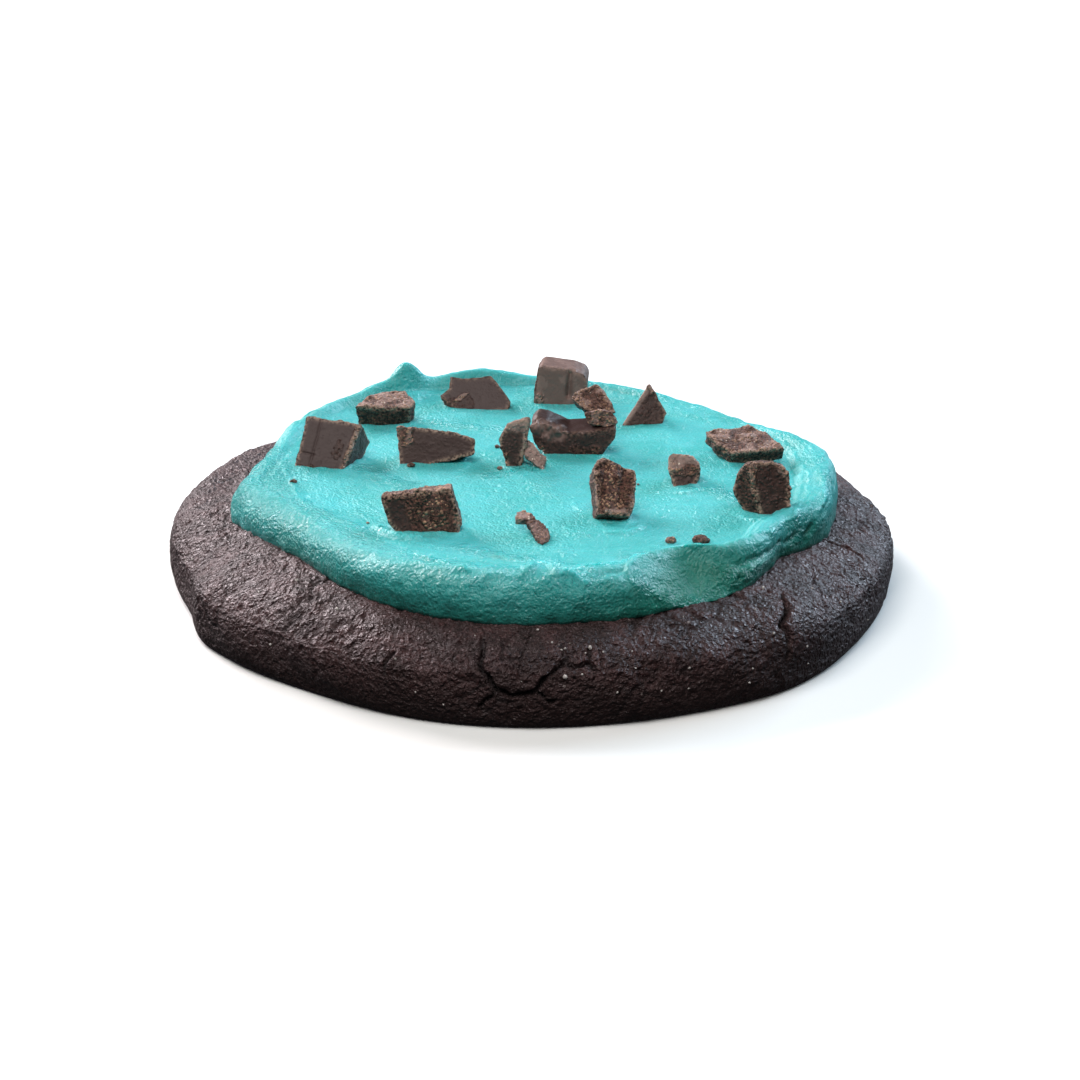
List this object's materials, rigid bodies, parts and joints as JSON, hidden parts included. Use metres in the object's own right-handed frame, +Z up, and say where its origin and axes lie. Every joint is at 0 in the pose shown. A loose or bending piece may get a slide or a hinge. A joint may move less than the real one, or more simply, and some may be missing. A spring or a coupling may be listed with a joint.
{
  "type": "frosted chocolate cookie",
  "caption": "Round dark chocolate cookie under a thick spread layer of mint green frosting, scattered with chopped dark chocolate pieces; a sweet baked good for a plate, tray or shop counter.",
  "frame": {"origin": "middle of the cookie's flat underside", "axes": "+Z up out of the frosting, -Y towards the front of the picture, +X to its right"},
  "size_m": [0.1015, 0.0999, 0.0245],
  "materials": {
    "cookie": "dry baked crust with fine wrinkles",
    "frosting": "soft moist buttercream gloss",
    "chocolate": "satin where moulded, rough where broken"
  },
  "bodies": {
    "root": {"cookie": "cookie", "frosting": "frosting", "chocolate_left_block": "chocolate", "chocolate_back_left_slab": "chocolate", "chocolate_middle_wedge": "chocolate", "chocolate_back_plate": "chocolate", "chocolate_back_block": "chocolate", "chocolate_curved_lump": "chocolate", "chocolate_folded_curl": "chocolate", "chocolate_resting_flake": "chocolate", "chocolate_back_pyramid": "chocolate", "chocolate_right_slab": "chocolate", "chocolate_right_block": "chocolate", "chocolate_front_left_plate": "chocolate", "chocolate_front_prism": "chocolate", "chocolate_small_lump": "chocolate"}
  },
  "joints": []
}
